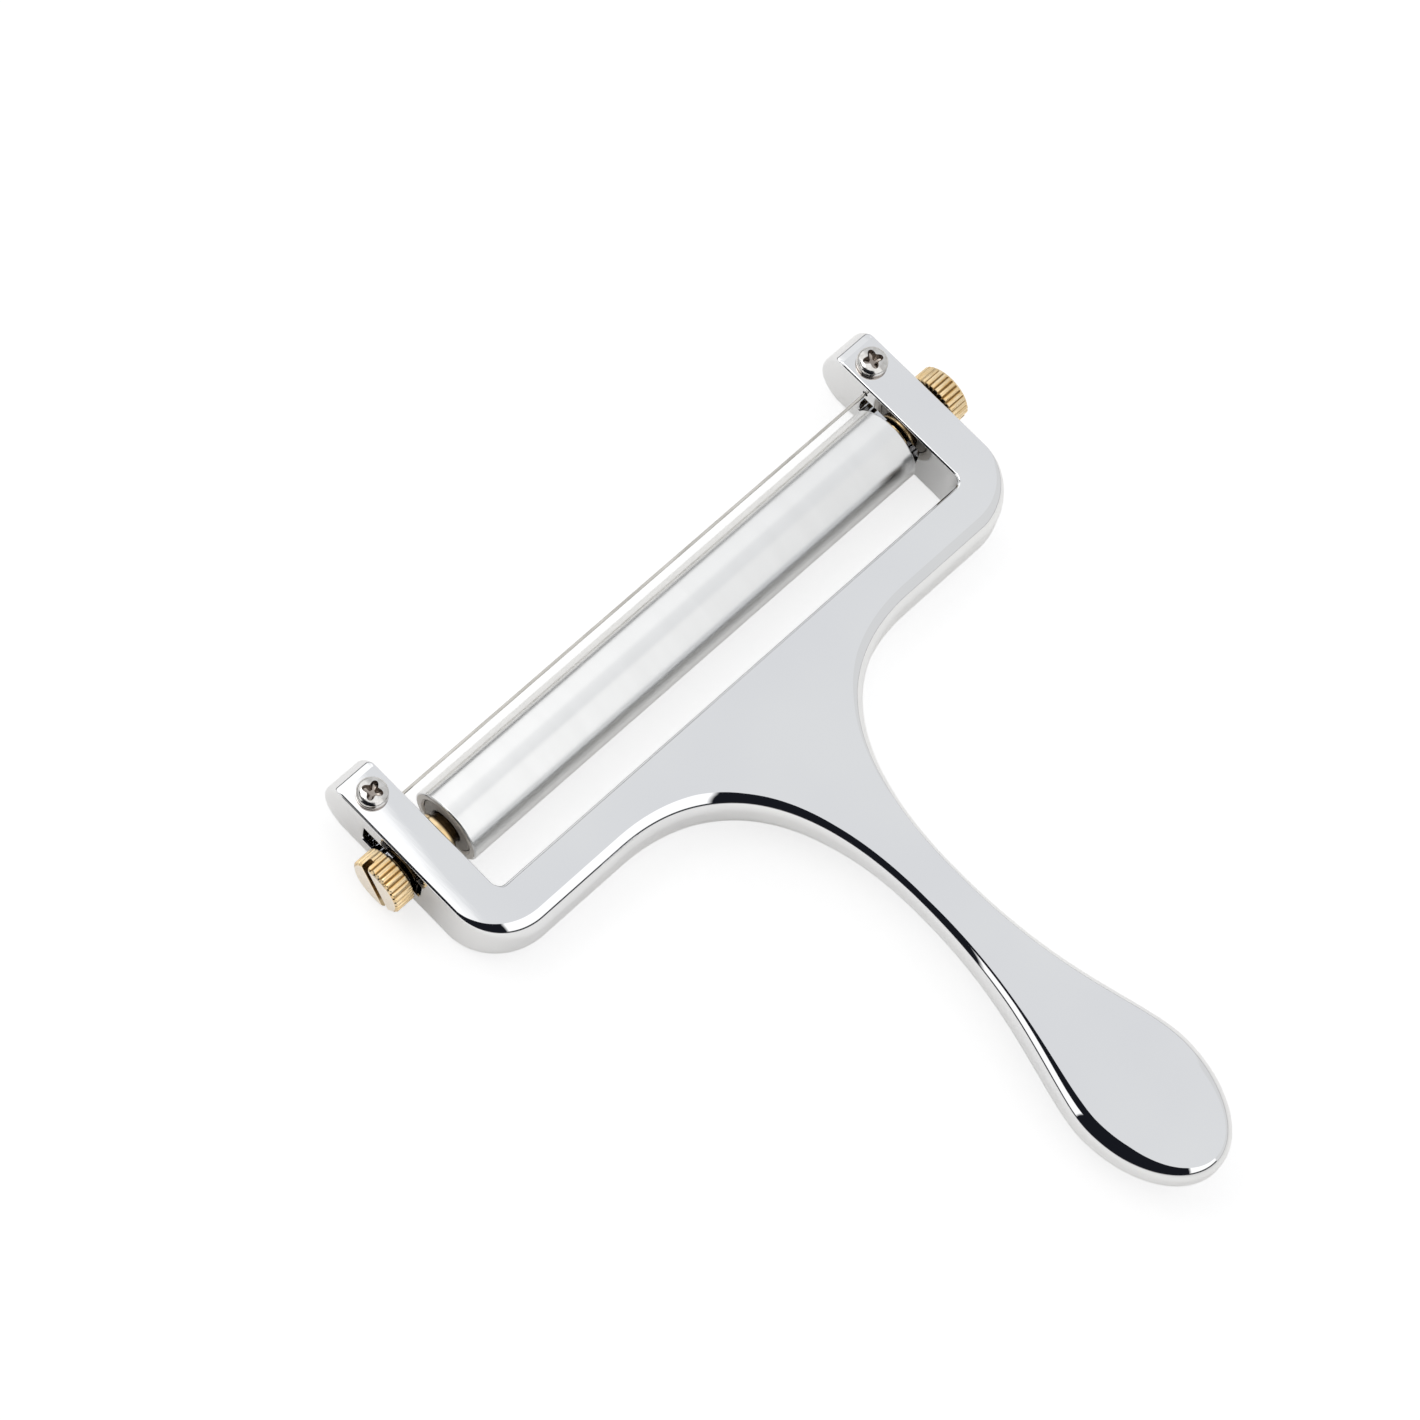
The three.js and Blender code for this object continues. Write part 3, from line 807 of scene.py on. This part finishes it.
def roller_tube():
    """The open-ended tube, with its ends marked for their duller finish."""
    r = TUBE_ROUND
    outer_right = arc((TUBE_HALF - r, TUBE_RADIUS - r), r, 90, 0, 5, last=True)
    profile = [(radius, x) for x, radius in outer_right]
    profile.append((TUBE_BORE + BORE_CHAMFER, TUBE_HALF))
    profile.append((TUBE_BORE, TUBE_HALF - BORE_CHAMFER))
    profile += [(radius, -x) for radius, x in reversed(profile)]
    tube = sleeve("roller_sleeve", profile, 160)

    def amount_at(p):
        on_end = abs(p.x) > TUBE_HALF - MM and math.hypot(p.y, p.z) < TUBE_RADIUS - TUBE_ROUND
        return 1.0 if on_end else 0.0

    mark_shade_and_finish(tube, amount_at)
    return transform(tube, Matrix.Translation(AXIS + Vector((TUBE_SHIFT, 0, 0))))


def bush(side):
    """A bearing bush in one end of the tube."""
    low, high, r = bush_low.x, bush_high.x, BUSH_ROUND
    profile = [
        (BUSH_BORE, low),
        (BUSH_RADIUS, low),
        (BUSH_RADIUS, high - r),
        (BUSH_RADIUS - r, high),
        (BUSH_BORE + r, high),
        (BUSH_BORE, high - r),
    ]
    piece = sleeve("bush_" + HANDS[side], profile)
    transform(piece, Matrix.Translation(AXIS))
    if side < 0:
        transform(piece, Matrix.Translation((2 * TUBE_SHIFT, 0, 0)) @ Matrix.Scale(-1, 4, (1, 0, 0)))
        piece.data.flip_normals()
    return piece


# ---- hub and thumbscrew, drawn for the right-hand side round the X axis ----

JOURNAL_RADIUS = 3.2 * MM
FLANGE_LENGTH = 1.6 * MM
FLANGE_FACE = ARM_INNER - 0.3 * MM
KEY_LENGTH = 5.6 * MM
KEY_HEIGHT = 4.9 * MM
TAPPED_RADIUS = 2.2 * MM
SCREW_RADIUS = 1.95 * MM
HUB_CHAMFER = 0.2 * MM
TAPPING_START = 3 * MM

KNURL_START = 67.45 * MM
KNURL_TEETH = 30
KNURL_DEPTH = 0.45 * MM
TOOTH_POINTS = 8
TOOTH_STEEPNESS = 1.7
SHANK_CHAMFER = 0.3 * MM
COLLAR_CHAMFER = 0.15 * MM
COLLAR_RADIUS = 3.9 * MM
COLLAR_START = HALF_WIDTH + 0.3 * MM
DRIVER_WIDTH = 1.8 * MM
DRIVER_DEPTH = 2 * MM
SLOT_FLARE = 0.12 * MM
# how much painted shade sits in the driver slot and in the tooth grooves
SLOT_SHADE = 0.4
GROOVE_SHADE = 0.5
# lean of each driver slot from upright, as the knob is drawn on the right-hand side
DRIVER_TURN = {1: math.radians(80), -1: math.radians(-34)}


def on_axis(obj, side):
    """Moves a piece drawn round X to the roller's axis, half turned for the left side."""
    if side < 0:
        transform(obj, Matrix.Rotation(math.pi, 4, "Z"))
    return transform(obj, Matrix.Translation(AXIS))


def hub(side):
    """A brass hub: journal, flange and a two-flatted key, tapped from the key's end."""
    c = HUB_CHAMFER
    start = FLANGE_FACE - FLANGE_LENGTH
    body = turned("hub_" + HANDS[side] + "_brass", [
        (JOURNAL_RADIUS - c, hub_low.x),
        (JOURNAL_RADIUS, hub_low.x + c),
        (JOURNAL_RADIUS, start),
        (HUB_FLANGE_RADIUS - c, start),
        (HUB_FLANGE_RADIUS, start + c),
        (HUB_FLANGE_RADIUS, FLANGE_FACE - c),
        (HUB_FLANGE_RADIUS - c, FLANGE_FACE),
    ])
    y, z = KEY_LENGTH / 2, KEY_HEIGHT / 2
    outline = rounded_rectangle(-y, y, -z, z, SLOT_CORNER)
    rings = []
    for x, scale in ((FLANGE_FACE - MM, 1), (hub_high.x - c, 1), (hub_high.x, 1 - c / z)):
        rings.append(np.column_stack([np.full(len(outline), x), outline * scale]))
    combine(body, loft("key", rings), "UNION")
    combine(body, turned("tapping", [
        (TAPPED_RADIUS, hub_low.x + TAPPING_START),
        (TAPPED_RADIUS, hub_high.x + MM),
    ], 64), "DIFFERENCE")
    return on_axis(body, side)


def knurl_ring(x, depth, shrink=0):
    """A toothed ring: depth 1 gives full teeth and 0 a plain circle at their roots."""
    count = KNURL_TEETH * TOOTH_POINTS
    phase = (np.arange(count) % TOOTH_POINTS) / TOOTH_POINTS
    height = np.clip(TOOTH_STEEPNESS * (1 - 2 * np.abs(phase - 0.5)), 0, 1)
    root = KNOB_RADIUS - KNURL_DEPTH
    return circle_ring(root - shrink + depth * KNURL_DEPTH * height, x, count)


def thumbscrew(side):
    """A brass screw with a collar and a toothed knob, cut across by a driver slot."""
    count = KNURL_TEETH * TOOTH_POINTS
    plain = [
        (SCREW_RADIUS - SHANK_CHAMFER, knob_low.x),
        (SCREW_RADIUS, knob_low.x + SHANK_CHAMFER),
        (SCREW_RADIUS, COLLAR_START),
        (COLLAR_RADIUS - COLLAR_CHAMFER, COLLAR_START),
        (COLLAR_RADIUS, COLLAR_START + COLLAR_CHAMFER),
        (COLLAR_RADIUS, KNURL_START),
    ]
    rings = [circle_ring(radius, x, count) for radius, x in plain]
    rings += [
        knurl_ring(KNURL_START, 0, 0.25 * MM),
        knurl_ring(KNURL_START + 0.3 * MM, 0.9),
        knurl_ring(KNURL_START + 0.45 * MM, 1),
        knurl_ring(KNOB_END - 0.55 * MM, 1),
        knurl_ring(KNOB_END - 0.4 * MM, 0.85),
        knurl_ring(KNOB_END - 0.12 * MM, 0, 0.05 * MM),
        knurl_ring(KNOB_END, 0, 0.22 * MM),
    ]
    piece = loft("thumbscrew_" + HANDS[side] + "_brass", rings)
    y, z = DRIVER_WIDTH / 2, 2 * KNOB_RADIUS
    rings = []
    for x, grow in (
        (KNOB_END - DRIVER_DEPTH, 0),
        (KNOB_END - SLOT_FLARE, 0),
        (KNOB_END + MM, MM + SLOT_FLARE),
    ):
        corners = [(-y - grow, -z), (y + grow, -z), (y + grow, z), (-y - grow, z)]
        rings.append(np.array([(x, a, b) for a, b in corners]))
    lean = DRIVER_TURN[side]
    blade = transform(loft("blade", rings), Matrix.Rotation(-lean, 4, "X"))
    combine(piece, blade, "DIFFERENCE")
    across = Vector((0, math.cos(lean), -math.sin(lean)))
    deepest = KNOB_END - DRIVER_DEPTH
    groove = KNOB_RADIUS - 0.6 * KNURL_DEPTH

    # painted shade in the driver slot and at the roots of the teeth
    def amount_at(p):
        in_slot = deepest - 0.1 * MM < p.x < KNOB_END - 0.2 * MM
        if in_slot and abs(p.dot(across)) < 0.51 * DRIVER_WIDTH:
            return SLOT_SHADE
        in_groove = KNOB_RADIUS - KNURL_DEPTH <= math.hypot(p.y, p.z) < groove
        return GROOVE_SHADE if in_groove and p.x < KNOB_END - 0.4 * MM else 0.0

    mark_shade_and_finish(piece, amount_at)
    return on_axis(piece, side)


# ---- clamp screw ----

RECESS_TIP = 1.95 * MM
RECESS_CORNER = 1.1 * MM
RECESS_DEPTH = 1.6 * MM
LOBE_POWER = 1.7
HEAD_HEIGHT = 1.9 * MM
HEAD_CHAMFER = 0.12 * MM
DOME_START = 0.55 * MM
DOME_TIP = 0.05 * MM
SHADOW_HEIGHT = 0.7 * MM
UNSHADED_SKIN = 0.06 * MM
RECESS_SHADE = 0.75
BASE_SHADOW = 0.8
# turn of one wing pair of each cross recess from +X
RECESS_TURN = {1: math.radians(62), -1: math.radians(29)}


def recess_cutter(turn):
    """A tapered four-lobed cross: its radius swings between the wing tips and the corners."""
    angle = np.linspace(0, TURN, 128, endpoint=False)
    lobes = np.abs(np.cos(2 * angle)) ** LOBE_POWER
    rings = []
    for down, tip, corner in (
        (-0.3 * MM, 1.04, 1.05),
        (0.2 * MM, 1, 1),
        (0.7 * RECESS_DEPTH, 0.85, 0.72),
        (RECESS_DEPTH, 0.35, 0.45),
    ):
        radius = corner * RECESS_CORNER + (tip * RECESS_TIP - corner * RECESS_CORNER) * lobes
        height = np.full(len(angle), HEAD_TOP - down)
        rings.append(np.column_stack([radius * np.cos(angle), radius * np.sin(angle), height]))
    return transform(loft("recess", rings), Matrix.Rotation(turn, 4, "Z"))


def clamp_screw(side):
    """A pan-head screw with a cross recess, marked for painted shade in the recess and a painted
    shadow under the head.
    """
    seat = HEAD_TOP - HEAD_HEIGHT
    dome = bezier([
        (HEAD_RADIUS, seat + DOME_START),
        (HEAD_RADIUS, seat + 1.5 * MM),
        (0.74 * HEAD_RADIUS, HEAD_TOP),
        (DOME_TIP, HEAD_TOP),
    ], 20)
    profile = [
        (SHANK_RADIUS * 0.7, SCREW_END),
        (SHANK_RADIUS, SCREW_END + 0.5 * MM),
        (SHANK_RADIUS, seat),
        (HEAD_RADIUS - HEAD_CHAMFER, seat),
        (HEAD_RADIUS, seat + HEAD_CHAMFER),
    ] + [tuple(p) for p in dome] + [(DOME_TIP, HEAD_TOP)]
    piece = turned("pan_screw_" + HANDS[side], profile)
    transform(piece, Matrix.Rotation(-math.pi / 2, 4, "Y"))
    combine(piece, recess_cutter(RECESS_TURN[side]), "DIFFERENCE")
    heights, radii = dome[:, 1], dome[:, 0]

    # painted shade inside the recess, below a thin bright skin, and a painted shadow round the foot of
    # the head
    def amount_at(p):
        reach = math.hypot(p.x, p.y)
        skin = np.interp(reach, radii[::-1], heights[::-1])
        if reach < RECESS_TIP:
            return RECESS_SHADE if seat < p.z < skin - UNSHADED_SKIN else 0.0
        return BASE_SHADOW if p.z < seat + SHADOW_HEIGHT else 0.0

    mark_shade_and_finish(piece, amount_at)
    return transform(piece, Matrix.Translation((side * ARM_MIDDLE, CLAMP_Y, 0)))


# ---- assembly ----

chrome = chrome_material()
aluminium = aluminium_material()
knob_brass = brass_material("knob_brass", KNURL_START + 0.3 * MM, KNOB_END + MM)
# the left hub's flange is mostly bright, and the right one's is mostly under painted shade
hub_brass = {
    -1: brass_material("hub_brass", FLANGE_FACE - 1.1 * MM, FLANGE_FACE + 0.1 * MM),
    1: brass_material("shaded_hub_brass", FLANGE_FACE - 0.45 * MM, FLANGE_FACE - 0.1 * MM),
}
screw_steel = screw_material()
wire_steel = wire_material()
plastic = bush_material()

place(frame_casting(), "frame", chrome, "chromed_casting", "frame", sharp=18)
place(wire(), "frame", wire_steel, "wire_steel", "cutting_wire")
place(roller_tube(), "roller", aluminium, "satin_aluminium", "roller_tube")
for side, hand in HANDS.items():
    place(bush(side), "roller", plastic, "dark_plastic", "roller_bush_" + hand)
    place(hub(side), "carriage", hub_brass[side], "turned_brass", "hub_" + hand)
    knob = "thumbscrew_" + hand
    place(thumbscrew(side), knob, knob_brass, "turned_brass", knob, sharp=22)
    screw = "clamp_screw_" + hand
    place(clamp_screw(side), screw, screw_steel, "screw_steel", screw)


# ---- floor, light and camera ----

FLOOR_GAP = 0.1 * MM
FLOOR_HALF = 0.9
TABLE_NEAR = (0.93, 0.92, 0.90)
TABLE_FAR = (0.40, 0.40, 0.40)
TABLE_FADE = (0.12, 0.40)
TABLE_TINT = (1, 0.99, 0.97)
TABLE_GLOW = 0.12
SEEN_ALBEDO = 0.4
SEEN_GLOW = 0.72


def camera_mix(tree, seen_by_camera, seen_by_others):
    """One shader for rays straight from the camera and another for all other rays."""
    path = tree.nodes.new("ShaderNodeLightPath")
    mix = tree.nodes.new("ShaderNodeMixShader")
    tree.links.new(path.outputs["Is Camera Ray"], mix.inputs["Fac"])
    tree.links.new(seen_by_others, mix.inputs[1])
    tree.links.new(seen_by_camera, mix.inputs[2])
    return mix.outputs["Shader"]


def glowing(tree, color, albedo, glow):
    """A matte surface that also gives off some light of its own."""
    shader = tree.nodes.new("ShaderNodeBsdfPrincipled")
    shader.inputs["Base Color"].default_value = (*(albedo * c for c in color), 1)
    shader.inputs["Roughness"].default_value = 1
    shader.inputs["Specular IOR Level"].default_value = 0
    shader.inputs["Emission Color"].default_value = (*color, 1)
    shader.inputs["Emission Strength"].default_value = glow
    return shader


def floor():
    """A white table: clean white to the camera, and greyer with distance in reflections."""
    z = cad_low.z - FLOOR_GAP
    h = FLOOR_HALF
    obj = mesh_object("floor", [(-h, -h, z), (h, -h, z), (h, h, z), (-h, h, z)], [(0, 1, 2, 3)])
    material = bpy.data.materials.new("white_table")
    material.use_nodes = True
    tree = material.node_tree
    tree.nodes.remove(tree.nodes["Principled BSDF"])
    seen = glowing(tree, (1, 1, 1), SEEN_ALBEDO, SEEN_GLOW)
    mirrored = glowing(tree, TABLE_TINT, 1, TABLE_GLOW)
    where = tree.nodes.new("ShaderNodeTexCoord")
    away = tree.nodes.new("ShaderNodeVectorMath")
    away.operation = "LENGTH"
    tree.links.new(where.outputs["Object"], away.inputs[0])
    shade = spread(tree, away.outputs["Value"], 0, 1, *TABLE_FADE)
    tree.links.new(blend_color(tree, shade, TABLE_NEAR, TABLE_FAR), mirrored.inputs["Base Color"])
    out = tree.nodes["Material Output"].inputs["Surface"]
    tree.links.new(camera_mix(tree, seen.outputs["BSDF"], mirrored.outputs["BSDF"]), out)
    obj.data.materials.append(material)


# The studio's colour depends on the direction (x, y, z) alone. Its regions end at slopes
# from straight up, u = x / z (the window's edge) and v = y / z (names ending in _V), at an
# x, y or z, or at an upright plane, given by the azimuth in degrees of the side it keeps.
CEILING = (0.80, 0.81, 0.825)
BRIGHT = (1.2, 1.2, 1.2)
FAR_WALL = (0.74, 0.745, 0.75)
DARK = (0.010, 0.011, 0.015)
WINDOW_EDGE = 0.2597
WINDOW_SKEW = -0.108
WINDOW_SOFT = 0.0014
REAR_LIGHT_V = (-0.30, -0.18)
REAR_LIGHT_X = (0.325, 0.345)
FRONT_LIGHT_V = (0.35, 0.55)
FRONT_LIGHT_X = (0.28, 0.42)
ROOM_START = 255
ROOM_START_SOFT = 0.01
ROOM_END = 156
ROOM_END_SOFT = 0.03
ROOM_TOP = (0.905, 0.92)
LINTEL_Z = (0.60, 0.615)
LINTEL_X = (-0.30, -0.25)
CORNER_X = (-0.32, -0.22)
CORNER_Y = (0.50, 0.56)
HORIZON_TOP = (0.10, 0.15)
HORIZON_AHEAD_Y = (0, 0.3)
HORIZON_AHEAD = 0.7
LIGHT_SIDE_X = (0.45, 0.75)
LOWEST_Z = 0.02


def studio_world():
    """A grey ceiling and walls, bright windows, a dark horizon and a dark room to the left."""
    world = bpy.data.worlds.new("studio")
    bpy.context.scene.world = world
    world.use_nodes = True
    tree = world.node_tree
    where = tree.nodes.new("ShaderNodeTexCoord")
    split = tree.nodes.new("ShaderNodeSeparateXYZ")
    tree.links.new(where.outputs["Generated"], split.inputs["Vector"])
    x, y, z = split.outputs["X"], split.outputs["Y"], split.outputs["Z"]
    upward = calculate(tree, "MAXIMUM", z, LOWEST_Z)
    u = calculate(tree, "DIVIDE", x, upward)
    v = calculate(tree, "DIVIDE", y, upward)

    def both(first, second):
        return calculate(tree, "MULTIPLY", first, second)

    def either(first, second):
        return calculate(tree, "MAXIMUM", first, second)

    def beside(azimuth, soft):
        """1 on the side of an upright plane that an azimuth points to, and 0 on the other."""
        along_x = calculate(tree, "MULTIPLY", x, math.cos(math.radians(azimuth)))
        along_y = calculate(tree, "MULTIPLY", y, math.sin(math.radians(azimuth)))
        return spread(tree, calculate(tree, "ADD", along_x, along_y), 0, 1, -soft, soft)

    skewed = calculate(tree, "ADD", u, calculate(tree, "MULTIPLY", v, WINDOW_SKEW))
    window = spread(tree, skewed, 1, 0, WINDOW_EDGE - WINDOW_SOFT, WINDOW_EDGE + WINDOW_SOFT)
    rear = spread(tree, v, 1, 0, *REAR_LIGHT_V)
    left_side = spread(tree, x, 1, 0, *REAR_LIGHT_X)
    rear_bright = both(rear, left_side)
    front_bright = both(spread(tree, v, 0, 1, *FRONT_LIGHT_V), spread(tree, x, 1, 0, *FRONT_LIGHT_X))
    color = blend_color(tree, rear, CEILING, FAR_WALL)
    bright = either(window, either(rear_bright, front_bright))
    color = blend_color(tree, bright, color, BRIGHT)
    corner = both(spread(tree, x, 1, 0, *CORNER_X), spread(tree, y, 0, 1, *CORNER_Y))
    color = blend_color(tree, corner, color, FAR_WALL)

    before_end = beside(ROOM_END, ROOM_END_SOFT)
    over_window = both(spread(tree, x, 1, 0, *LINTEL_X), spread(tree, z, 0, 1, *LINTEL_Z))
    room = both(before_end, either(beside(ROOM_START, ROOM_START_SOFT), over_window))
    room = both(room, spread(tree, z, 1, 0, *ROOM_TOP))
    horizon = both(spread(tree, z, 1, 0, *HORIZON_TOP), spread(tree, x, 1, 0, *LIGHT_SIDE_X))
    ahead = spread(tree, y, 0, HORIZON_AHEAD, *HORIZON_AHEAD_Y)
    horizon = both(horizon, either(left_side, ahead))
    color = blend_color(tree, either(room, horizon), color, DARK)

    studio = tree.nodes["Background"]
    tree.links.new(color, studio.inputs["Color"])
    backdrop = tree.nodes.new("ShaderNodeBackground")
    backdrop.inputs["Color"].default_value = (1, 1, 1, 1)
    out = tree.nodes["World Output"].inputs["Surface"]
    tree.links.new(camera_mix(tree, backdrop.outputs["Background"], studio.outputs["Background"]), out)


def softbox(name, azimuth, elevation, distance, width, height, watts):
    """An area light aimed at the origin; azimuth is measured from +X towards +Y."""
    data = bpy.data.lights.new(name, "AREA")
    data.shape = "RECTANGLE"
    data.size = width
    data.size_y = height
    data.energy = watts
    light = bpy.data.objects.new(name, data)
    bpy.context.scene.collection.objects.link(light)
    a, e = math.radians(azimuth), math.radians(elevation)
    direction = Vector((math.cos(e) * math.cos(a), math.cos(e) * math.sin(a), math.sin(e)))
    light.location = direction * distance
    light.rotation_euler = direction.to_track_quat("Z", "Y").to_euler()
    light.visible_camera = False


floor()
studio_world()
softbox("key", azimuth=120, elevation=60, distance=1.0, width=0.5, height=0.4, watts=1.2)

FOCAL_LENGTH = 124.87
SENSOR = 36
CAMERA_AT = Vector((-291.62, -159.93, 806.36)) * MM + TO_ORIGIN
CAMERA_TURN = (21.068, -6.480, -44.478)

camera_data = bpy.data.cameras.new("photo_camera")
camera_data.lens = FOCAL_LENGTH
camera_data.sensor_width = SENSOR
camera = bpy.data.objects.new("photo_camera", camera_data)
bpy.context.scene.collection.objects.link(camera)
camera.location = CAMERA_AT
camera.rotation_euler = [math.radians(angle) for angle in CAMERA_TURN]
bpy.context.scene.camera = camera

bpy.context.scene.view_settings.view_transform = "Standard"
